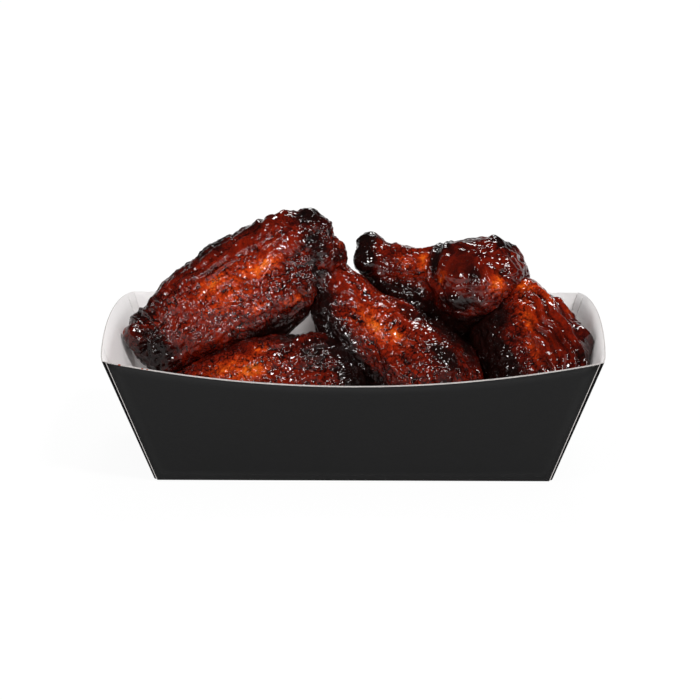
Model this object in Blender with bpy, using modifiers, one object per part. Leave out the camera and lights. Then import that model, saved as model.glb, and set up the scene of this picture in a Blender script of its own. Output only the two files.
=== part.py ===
"""Five glazed chicken wings heaped in a folded paperboard serving tray.

The tray stands on z = 0 with the middle of its base at the origin; X runs along it and Y to its back.
Each wing is built in its own frame, from rounded lobes of meat, bone end and skin that are melted into one
body: X runs from its thin end to its thick end, Y across its broad side and Z through its thickness.
"""

import math
from collections import namedtuple

import bmesh
import bpy
from mathutils import Matrix, Vector

MM = 0.001

# Tray, outside sizes in metres
TRAY_LENGTH = 0.180
TRAY_DEPTH = 0.110
CORNER_HEIGHT = 0.0494
WALL_INSET = 0.0164
BOARD = 0.0006
FRONT_DIP = 0.0105
END_RISE = 0.0048
END_BULGE = 0.0014
ARC_STEPS = 12
TRAY_BLACK = (0.013, 0.013, 0.014, 1.0)

# Wings
GAP = 0.0004
HEAP_TOP = 0.160
VOXEL = 0.0016
EASE_STEPS = 8
LUMP_SIZE = 0.016
LUMP_HEIGHT = 0.0022
WING_TRIANGLES = 1690
GLAZE_ROUGHNESS = 0.3

LEAN = WALL_INSET / CORNER_HEIGHT
EDGE = 1e-6


def clear_scene():
    for thing in list(bpy.data.objects):
        bpy.data.objects.remove(thing)


def add_collection(name, hidden=False):
    made = bpy.data.collections.new(name)
    made.hide_render = hidden
    bpy.context.scene.collection.children.link(made)
    return made


def add_material(name, colour, roughness):
    made = bpy.data.materials.new(name)
    made.use_nodes = True
    shader = made.node_tree.nodes["Principled BSDF"]
    shader.inputs["Base Color"].default_value = colour
    shader.inputs["Roughness"].default_value = roughness
    shader.inputs["Metallic"].default_value = 0.0
    return made


def mesh_of(name, shape):
    mesh = bpy.data.meshes.new(name)
    shape.to_mesh(mesh)
    shape.free()
    return mesh


def add_object(name, mesh, home):
    made = bpy.data.objects.new(name, mesh)
    home.objects.link(made)
    return made


def hide_as_cutter(thing):
    thing.hide_render = True
    thing.display_type = "WIRE"


def leaning_box(half_length, half_depth, low, high):
    """A block between two heights whose four sides lean out as the tray's do; its half sizes are those at z = 0."""
    shape = bmesh.new()
    bmesh.ops.create_cube(shape, size=2.0)
    for corner in shape.verts:
        z = high if corner.co.z > 0 else low
        x = math.copysign(half_length + LEAN * z, corner.co.x)
        y = math.copysign(half_depth + LEAN * z, corner.co.y)
        corner.co = (x, y, z)
    return shape


# --- tray -------------------------------------------------------------------------------------------


def curve_rim(point):
    """Slides one point of the straight rim along its wall: the front dips, the ends rise, the back stays."""
    along = point.x / (TRAY_LENGTH / 2)
    across = point.y / (TRAY_DEPTH / 2)
    uphill = Vector((LEAN, 1.0)).normalized()
    if across < -1 + EDGE:
        out, up = uphill * -FRONT_DIP * (1 - along**2)
        point.y -= out
        point.z += up
    elif abs(along) > 1 - EDGE:
        out, up = uphill * END_RISE * (1 - across**2)
        out += END_BULGE * (1 - across**2) ** 0.5
        point.x += math.copysign(out, point.x)
        point.z += up


def wall_points(half_length, half_depth, height):
    """Points round the four walls at one height, corner by corner, evenly spaced along each wall."""
    x, y = half_length + LEAN * height, half_depth + LEAN * height
    corners = [Vector((u * x, v * y, height)) for u, v in ((-1, -1), (1, -1), (1, 1), (-1, 1))]
    ends = zip(corners, corners[1:] + corners[:1])
    return [start.lerp(end, step / ARC_STEPS) for start, end in ends for step in range(ARC_STEPS)]


def add_tray(home):
    """Base and four walls as one open sheet, thickened inwards to the board."""
    half_length, half_depth = TRAY_LENGTH / 2 - WALL_INSET, TRAY_DEPTH / 2 - WALL_INSET
    shape = bmesh.new()
    fold = [shape.verts.new(point) for point in wall_points(half_length, half_depth, 0.0)]
    rim = [shape.verts.new(point) for point in wall_points(half_length, half_depth, CORNER_HEIGHT)]
    for vert in rim:
        curve_rim(vert.co)
    middle = shape.verts.new((0.0, 0.0, 0.0))
    for a in range(len(fold)):
        b = (a + 1) % len(fold)
        shape.faces.new((middle, fold[b], fold[a]))
        shape.faces.new((fold[a], fold[b], rim[b], rim[a]))
    tray = add_object("tray", mesh_of("tray", shape), home)
    tray.data.materials.append(add_material("tray_board", TRAY_BLACK, 0.5))
    board = tray.modifiers.new("board", "SOLIDIFY")
    board.thickness = BOARD
    board.offset = -1.0
    board.use_even_offset = True


def add_heap_space(cutters):
    """The room that the wings may fill: the inside of the tray, carried on upwards."""
    wall = (BOARD + GAP) * math.hypot(1.0, LEAN)
    half_length = TRAY_LENGTH / 2 - WALL_INSET - wall
    half_depth = TRAY_DEPTH / 2 - WALL_INSET - wall
    shape = leaning_box(half_length, half_depth, BOARD + GAP, HEAP_TOP)
    space = add_object("heap_space", mesh_of("heap_space", shape), cutters)
    hide_as_cutter(space)
    return space


# --- wings ------------------------------------------------------------------------------------------


def lobe(shape, centre, radii, turn=0.0):
    """One ellipsoid, swung by turn degrees in the wing's broad plane."""
    place = Matrix.Translation(centre) @ Matrix.Rotation(math.radians(turn), 4, "Z")
    matrix = place @ Matrix.Diagonal((*radii, 1.0))
    bmesh.ops.create_uvsphere(shape, u_segments=20, v_segments=12, radius=1.0, matrix=matrix)


def flat_wing(shape, length, width, thick, web=1.0, web_at=0.1, elbow=1.0, wrist=1.0):
    """The middle joint of a wing: two bones side by side, a knobbly joint at each end and a web of skin."""
    half, w, t = length / 2, width / 2, thick / 2
    bow = 0.04 * length
    lobe(shape, (0.02 * half, 0.28 * w, 0.3 * bow), (0.86 * half, 0.66 * w, 0.94 * t), turn=3)
    lobe(shape, (-0.04 * half, -0.30 * w, 0.1 * bow), (0.84 * half, 0.64 * w, 0.88 * t), turn=-4)
    lobe(shape, (0.00, 0.00, 0.4 * bow), (0.66 * half, 0.86 * w, 0.98 * t))
    lobe(shape, (0.74 * half, 0.26 * w, -0.3 * bow), (0.25 * half, 0.50 * w * elbow, 0.80 * t), turn=20)
    lobe(shape, (0.78 * half, -0.26 * w, -0.3 * bow), (0.21 * half, 0.46 * w * elbow, 0.72 * t), turn=-15)
    lobe(shape, (-0.80 * half, 0.12 * w, -0.4 * bow), (0.20 * half, 0.48 * w * wrist, 0.66 * t), turn=-12)
    lobe(shape, (-0.76 * half, -0.32 * w, -0.4 * bow), (0.18 * half, 0.34 * w * wrist, 0.56 * t), turn=20)
    lobe(shape, (web_at * half, -0.54 * w * web, -0.2 * bow), (0.58 * half, 0.46 * w, 0.50 * t), turn=6)


def drumette(shape, length, width, thick, neck=0.4, calf=0.7, knuckle=1.0, fold=1.0, fold_at=-0.1, cut=0.0):
    """The upper joint of a wing: a thick muscle that narrows to a neck with a knuckle, and a fold of skin."""
    half, w, t = length / 2, width / 2, thick / 2
    bow = 0.06 * length
    bulb = 0.34 * knuckle
    lobe(shape, ((0.44 - cut) * half, 0.00, 0.0), (0.54 * half, 0.98 * w, 0.98 * t), turn=4)
    lobe(shape, ((0.62 - cut) * half, -0.10 * w, -0.1 * t), (0.36 * half, 0.82 * w, 0.86 * t), turn=-20)
    lobe(shape, (0.08 * half, 0.06 * w, 0.2 * bow), (0.52 * half, calf * w, calf * t))
    lobe(shape, (-0.40 * half, 0.02 * w, 0.3 * bow), (0.46 * half, neck * w, neck * t))
    lobe(shape, (-0.84 * half, 0.16 * w, 0.2 * bow), (0.16 * half, bulb * w, 1.15 * bulb * t), turn=25)
    lobe(shape, (-0.82 * half, -0.18 * w, 0.3 * bow), (0.15 * half, 0.9 * bulb * w, bulb * t), turn=-20)
    lobe(shape, (fold_at * half, -0.42 * w * fold, -0.1 * t), (0.42 * half, 0.42 * w * fold, 0.48 * t), turn=-10)


# size is length, width, thickness; centre is the place of the wing's middle; both in millimetres.
# aim is heading, pitch and roll in degrees. Each nub is X, Y, Z and radius in the wing's frame, in millimetres.
Wing = namedtuple("Wing", "name form size centre aim detail nubs colour")

WINGS = (
    Wing(
        name="wing_flat_under",
        form=flat_wing,
        size=(85, 45, 30),
        centre=(-43, -11, 22.5),
        aim=(2, 19, 62),
        detail={},
        nubs=(),
        colour=(0.20, 0.020, 0.006, 1.0),
    ),
    Wing(
        name="wing_drum_center",
        form=drumette,
        size=(92, 42, 42),
        centre=(13, -1, 43),
        aim=(-30, -36, 20),
        detail={"neck": 0.50, "calf": 0.72, "knuckle": 1.15, "fold": 1.1, "fold_at": -0.30},
        nubs=((30, 2, -11, 17),),
        colour=(0.16, 0.014, 0.006, 1.0),
    ),
    Wing(
        name="wing_flat_right",
        form=flat_wing,
        size=(94, 44, 28),
        centre=(65.5, -5, 42),
        aim=(-62, -30, 46),
        detail={},
        nubs=((36, -3, -9, 15),),
        colour=(0.15, 0.014, 0.008, 1.0),
    ),
    Wing(
        name="wing_flat_left",
        form=flat_wing,
        size=(91, 46, 30),
        centre=(-45.5, 10, 58.5),
        aim=(10, 29, 54),
        detail={"web": 1.12, "web_at": 0.18, "elbow": 0.96, "wrist": 1.05},
        nubs=((-41, 3, 6, 5),),
        colour=(0.18, 0.018, 0.006, 1.0),
    ),
    Wing(
        name="wing_drum_top",
        form=drumette,
        size=(76, 40, 36),
        centre=(35.5, 16, 64.6),
        aim=(-15, -11, 30),
        detail={"neck": 0.37, "calf": 0.60, "knuckle": 1.02, "fold": 0.8, "fold_at": 0.1, "cut": 0.09},
        nubs=(
            (22, 12, 7, 5),
            (4, 6, 7, 7),
            (16, 8, 12, 6),
            (-22, -4, -7, 9),
            (-10, -6, -9, 12),
            (2, -8, -10, 12),
            (14, -4, -8, 13),
        ),
        colour=(0.13, 0.012, 0.006, 1.0),
    ),
)

# Where two wings press together, the first gives way to the second
PRESSED = (
    ("wing_flat_under", "wing_drum_center"),
    ("wing_drum_center", "wing_flat_right"),
    ("wing_flat_left", "wing_flat_under"),
    ("wing_flat_left", "wing_drum_center"),
    ("wing_drum_top", "wing_drum_center"),
    ("wing_drum_top", "wing_flat_right"),
)


def place_of(wing):
    heading, pitch, roll = (math.radians(angle) for angle in wing.aim)
    turn = Matrix.Rotation(heading, 4, "Z") @ Matrix.Rotation(-pitch, 4, "Y") @ Matrix.Rotation(roll, 4, "X")
    return Matrix.Translation(Vector(wing.centre) * MM) @ turn


def melted(lobes):
    """The overlapping lobes as one smooth, uneven body with a limited number of triangles."""
    melt = lobes.modifiers.new("melt", "REMESH")
    melt.mode = "VOXEL"
    melt.voxel_size = VOXEL
    ease = lobes.modifiers.new("ease", "SMOOTH")
    ease.factor = 0.5
    ease.iterations = EASE_STEPS
    lumps = lobes.modifiers.new("lumps", "DISPLACE")
    lumps.texture = bpy.data.textures.new(lobes.name, "CLOUDS")
    lumps.texture.noise_scale = LUMP_SIZE
    lumps.texture_coords = "GLOBAL"
    lumps.strength = LUMP_HEIGHT
    graph = bpy.context.evaluated_depsgraph_get()
    graph.update()
    triangles = 2 * len(lobes.evaluated_get(graph).data.polygons)
    thin = lobes.modifiers.new("thin", "DECIMATE")
    thin.ratio = min(1.0, WING_TRIANGLES / triangles)
    graph.update()
    return bpy.data.meshes.new_from_object(lobes.evaluated_get(graph))


def add_wing(wing, home):
    shape = bmesh.new()
    wing.form(shape, *(side * MM for side in wing.size), **wing.detail)
    for x, y, z, radius in wing.nubs:
        lobe(shape, Vector((x, y, z)) * MM, (radius * MM,) * 3)
    lobes = add_object(wing.name + "_lobes", mesh_of(wing.name + "_lobes", shape), home)
    lobes.matrix_world = place_of(wing)
    bpy.context.view_layer.update()
    made = add_object(wing.name, melted(lobes), home)
    made.matrix_world = place_of(wing)
    made.data.materials.append(add_material(wing.name + "_glaze", wing.colour, GLAZE_ROUGHNESS))
    made.data.shade_smooth()
    bpy.data.objects.remove(lobes)
    return made


def press(soft, hard, cutters):
    """Takes away from the soft wing what the hard one, swollen by the gap, would fill."""
    swollen = add_object("press_" + soft.name + "_" + hard.name, hard.data, cutters)
    swollen.matrix_world = hard.matrix_world
    hide_as_cutter(swollen)
    swell = swollen.modifiers.new("swell", "DISPLACE")
    swell.strength = GAP
    swell.mid_level = 0.0
    pressed = soft.modifiers.new("against_" + hard.name, "BOOLEAN")
    pressed.operation = "DIFFERENCE"
    pressed.object = swollen


def main():
    clear_scene()
    home = add_collection("chicken_wings_serving")
    cutters = add_collection("cutters", hidden=True)
    add_tray(home)
    space = add_heap_space(cutters)
    wings = {wing.name: add_wing(wing, home) for wing in WINGS}
    for soft, hard in PRESSED:
        press(wings[soft], wings[hard], cutters)
    for made in wings.values():
        inside = made.modifiers.new("inside_tray", "BOOLEAN")
        inside.operation = "INTERSECT"
        inside.object = space


main()
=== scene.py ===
"""Glazed chicken wings in a folded paperboard tray: the finished look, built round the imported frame."""

import math
from collections import namedtuple

import bmesh
import bpy
import numpy as np
from bpy.props import FloatProperty, FloatVectorProperty, PointerProperty
from mathutils import Matrix, Vector


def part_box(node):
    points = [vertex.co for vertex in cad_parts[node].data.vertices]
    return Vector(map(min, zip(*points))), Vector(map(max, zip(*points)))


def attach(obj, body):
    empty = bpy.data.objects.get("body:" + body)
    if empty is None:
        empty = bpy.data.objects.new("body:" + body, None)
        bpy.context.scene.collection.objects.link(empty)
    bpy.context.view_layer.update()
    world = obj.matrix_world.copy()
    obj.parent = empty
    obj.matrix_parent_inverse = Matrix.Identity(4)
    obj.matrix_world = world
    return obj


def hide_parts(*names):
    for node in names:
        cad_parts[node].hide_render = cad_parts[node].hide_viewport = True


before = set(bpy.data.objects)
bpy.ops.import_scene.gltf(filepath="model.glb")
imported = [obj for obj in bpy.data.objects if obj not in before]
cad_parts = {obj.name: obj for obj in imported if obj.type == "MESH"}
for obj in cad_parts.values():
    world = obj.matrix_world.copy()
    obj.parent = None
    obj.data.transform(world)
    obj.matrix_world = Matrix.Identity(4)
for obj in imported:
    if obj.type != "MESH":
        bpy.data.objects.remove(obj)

bl_info = {
    "name": "Glazed Wings in a Tray",
    "version": (1, 0, 0),
    "blender": (4, 5, 0),
    "location": "3D View > Sidebar > Wings",
    "description": "Builds glazed chicken wings and their paperboard tray, with a plain stage",
    "category": "Add Mesh",
}

MM = 0.001
# The side of the serving that faces the guest
FRONT = Vector((0.0, -0.97, 0.25)).normalized()


# === settings =========================================================================================


def length(name, description, metres):
    return FloatProperty(name=name, description=description, default=metres, unit="LENGTH")


def number(name, description, default):
    return FloatProperty(name=name, description=description, default=default)


def angle(name, description, degrees):
    return FloatProperty(name=name, description=description, default=math.radians(degrees), subtype="ANGLE")


def paint(name, description, default):
    return FloatVectorProperty(name=name, description=description, default=default, subtype="COLOR")


# === shader trees =====================================================================================


class Wire:
    """One output of a shader tree, used in sums like a number: each operator adds one Math node."""

    def __init__(self, look, socket):
        self.look = look
        self.socket = socket

    def math(self, operation, *values):
        return self.look.node("ShaderNodeMath", {"operation": operation}, dict(enumerate(values)))

    def __add__(self, other):
        return self.math("ADD", self, other)

    def __radd__(self, other):
        return self.math("ADD", other, self)

    def __sub__(self, other):
        return self.math("SUBTRACT", self, other)

    def __rsub__(self, other):
        return self.math("SUBTRACT", other, self)

    def __mul__(self, other):
        return self.math("MULTIPLY", self, other)

    def __rmul__(self, other):
        return self.math("MULTIPLY", other, self)

    def size(self):
        return self.math("ABSOLUTE", self)

    def most(self, other):
        return self.math("MAXIMUM", self, other)

    def least(self, other):
        return self.math("MINIMUM", self, other)

    def clamped(self):
        return self.look.node("ShaderNodeClamp", {}, {"Value": self})


class Look:
    """A material, or the world, and its shader tree."""

    def __init__(self, name, world=None):
        self.material = world or bpy.data.materials.new(name)
        self.material.use_nodes = True
        self.tree = self.material.node_tree
        self.shader = self.tree.nodes["Background" if world else "Principled BSDF"]

    def node(self, kind, settings=None, sockets=None, output=0):
        """Adds a node: its settings first, then its sockets, each a number, a colour or a Wire."""
        made = self.tree.nodes.new(kind)
        for name, value in (settings or {}).items():
            if name == "stops":
                self.set_stops(made.color_ramp, value)
            else:
                setattr(made, name, value)
        for key, value in (sockets or {}).items():
            self.put(made.inputs[key], value)
        return Wire(self, made.outputs[output])

    def put(self, socket, value):
        if isinstance(value, Wire):
            self.tree.links.new(value.socket, socket)
        else:
            socket.default_value = value

    def set_stops(self, ramp, stops):
        for index, (place, colour) in enumerate(stops):
            stop = ramp.elements[index] if index < 2 else ramp.elements.new(place)
            stop.position = place
            stop.color = colour if hasattr(colour, "__len__") else (colour, colour, colour, 1.0)

    def ramp(self, value, *stops):
        return self.node("ShaderNodeValToRGB", {"stops": stops}, {0: value})

    def mix(self, share, first, second):
        """A colour between first and second."""
        settings = {"data_type": "RGBA", "blend_type": "MIX"}
        return self.node("ShaderNodeMix", settings, {0: share, 6: first, 7: second}, output=2)

    def place(self, output=3):
        return self.node("ShaderNodeTexCoord", output=output)

    def noise(self, size, detail=2.0, rough=0.5, warp=0.0, where=None):
        """Noise from 0 to 1 whose blotches are about size metres across."""
        sockets = {"Vector": where or self.place(), "Scale": 1.0 / size, "Detail": detail}
        sockets.update({"Roughness": rough, "Distortion": warp})
        return self.node("ShaderNodeTexNoise", {}, sockets)

    def warped(self, size, reach):
        """The place, shifted by noise of the size given by up to about half of reach."""
        shift = self.node("ShaderNodeTexNoise", {}, {"Vector": self.place(), "Scale": 1.0 / size}, output=1)
        sockets = {0: shift, 1: (reach, reach, reach), 2: self.place()}
        return self.node("ShaderNodeVectorMath", {"operation": "MULTIPLY_ADD"}, sockets)

    def cells(self, size, where, feature="F1"):
        """Distances, in cells, from the hearts or from the edges of cells about size metres across."""
        sockets = {"Vector": where, "Scale": 1.0 / size}
        return self.node("ShaderNodeTexVoronoi", {"feature": feature}, sockets)

    def split(self, vector):
        parts = self.node("ShaderNodeSeparateXYZ", {}, {0: vector}).socket.node.outputs
        return [Wire(self, part) for part in parts]

    def attribute(self, name):
        return self.node("ShaderNodeAttribute", {"attribute_name": name}, output=2)

    def stretched(self, scale):
        sockets = {"Vector": self.place(), "Scale": scale}
        return self.node("ShaderNodeMapping", {"vector_type": "POINT"}, sockets)

    def finish(self, **sockets):
        """Sets the main shader's sockets, named with _ for a space."""
        for name, value in sockets.items():
            self.put(self.shader.inputs[name.replace("_", " ")], value)
        return self.material

    def bump(self, height, distance, strength=1.0, below=None):
        sockets = {"Height": height, "Distance": distance, "Strength": strength}
        if below:
            sockets["Normal"] = below
        return self.node("ShaderNodeBump", {}, sockets)


def solid(shade):
    return (*shade, 1.0)


def tinted(shade, factor):
    """The colour made darker or paler by a factor."""
    return solid([part * factor for part in shade])


# === noise on points ==================================================================================


def hashed(cells, seed):
    """A number from 0 to 1 for each whole-numbered cell."""
    mixed = cells.astype(np.int64) @ np.array([73856093, 19349663, 83492791]) + seed * 2654435761
    mixed = (mixed ^ (mixed >> 13)) * 1274126177 & 0xFFFFFFFF
    mixed = (mixed ^ (mixed >> 16)) * 2246822519 & 0xFFFFFFFF
    return ((mixed ^ (mixed >> 15)) & 0xFFFFFF) / float(0x1000000)


def corners(count=2, start=0):
    steps = range(start, start + count)
    return [np.array((x, y, z)) for x in steps for y in steps for z in steps]


def waves(points, size, seed=0):
    """Smooth noise, about -1 to 1, whose bumps are about size metres apart."""
    scaled = points / size
    base = np.floor(scaled)
    inside = scaled - base
    ease = inside**3 * (inside * (inside * 6 - 15) + 10)
    total = np.zeros(len(points))
    for corner in corners():
        cell = base + corner
        slope = np.stack([hashed(cell, seed * 3 + axis) for axis in range(3)], 1) * 2 - 1
        share = np.prod(np.where(corner, ease, 1 - ease), axis=1)
        total += share * np.einsum("ij,ij->i", slope, inside - corner)
    return total * 1.6


def layered(points, size, layers, seed=0):
    """Smooth noise with finer layers added, each half as large and half as high."""
    total = sum(waves(points, size / 2**step, seed + step) / 2**step for step in range(layers))
    return total / (2 - 0.5 ** (layers - 1))


def pebbles(points, size, seed=0):
    """Round bumps packed side by side: 1 at their tops and 0 in the cracks."""
    scaled = points / size
    base = np.floor(scaled)
    nearest = np.full(len(points), 9.0)
    second = nearest.copy()
    for corner in corners(3, -1):
        cell = base + corner
        heart = cell + np.stack([hashed(cell, seed * 3 + axis) for axis in range(3)], 1)
        distance = np.linalg.norm(heart - scaled, axis=1)
        second = np.minimum(second, np.maximum(nearest, distance))
        nearest = np.minimum(nearest, distance)
    return np.clip(second - nearest, 0, 1)


def domes(points, size, seed=0):
    """Round bumps packed side by side, with flat tops and steep sides: 1 on top and about 0 between."""
    scaled = points / size
    base = np.floor(scaled)
    nearest = np.full(len(points), 9.0)
    for corner in corners(3, -1):
        cell = base + corner
        heart = cell + 0.15 + 0.7 * np.stack([hashed(cell, seed * 3 + axis) for axis in range(3)], 1)
        nearest = np.minimum(nearest, ((heart - scaled) ** 2).sum(1))
    return 1 - 2.2 * np.minimum(nearest, 0.7) ** 2


def creases(points, size, layers=2, seed=0):
    """Narrow ridges: 1 along their crests."""
    return 1 - np.abs(layered(points, size, layers, seed)) * 2.2


def rise(value, low, high):
    """0 below low, 1 above high and a smooth step between."""
    t = np.clip((value - low) / (high - low), 0, 1)
    return t * t * (3 - 2 * t)


# === meshes ===========================================================================================


def add_object(name, mesh, *materials):
    made = bpy.data.objects.new(name, mesh)
    bpy.context.scene.collection.objects.link(made)
    for material in materials:
        mesh.materials.append(material)
    return made


def applied(made):
    """Turns the object's modifiers into mesh."""
    graph = bpy.context.evaluated_depsgraph_get()
    graph.update()
    mesh = bpy.data.meshes.new_from_object(made.evaluated_get(graph))
    mesh.name = made.name
    made.modifiers.clear()
    made.data = mesh
    return made


def points_of(mesh, what="co"):
    data = mesh.vertices if what == "co" else mesh.vertex_normals
    values = np.empty(len(mesh.vertices) * 3)
    data.foreach_get("co" if what == "co" else "vector", values)
    return values.reshape(-1, 3)


def set_points(mesh, points):
    mesh.vertices.foreach_set("co", points.ravel())
    mesh.update()


def store(mesh, name, values):
    layer = mesh.attributes.new(name, "FLOAT", "POINT")
    layer.data.foreach_set("value", np.clip(values, 0, 1).astype(np.float32))


def keep(made, node=None):
    """Ties a piece to the frame, in place of a solid if one is named."""
    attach(made, "root")
    if node:
        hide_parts(node)


# === wings ============================================================================================

# Amber is partly thin glaze and partly painted light; char is partly burnt skin and partly painted shade.
# Along is -1 at a wing's left end and 1 at its right end, up is -1 at its lower edge and 1 at its upper
# edge, and out is 1 at the side that faces the guest; all as seen from the front.
# An amber or char patch is along, up, its reach along and up, and its strength.
# A knob is along, up, out, its radius and its height; a fold is its width, its height and the points along
# and up that it runs through. Widths, radii and heights are in millimetres.
Wing = namedtuple("Wing", "node amber rust char smooth knobs folds wrinkle skin seed")

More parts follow.
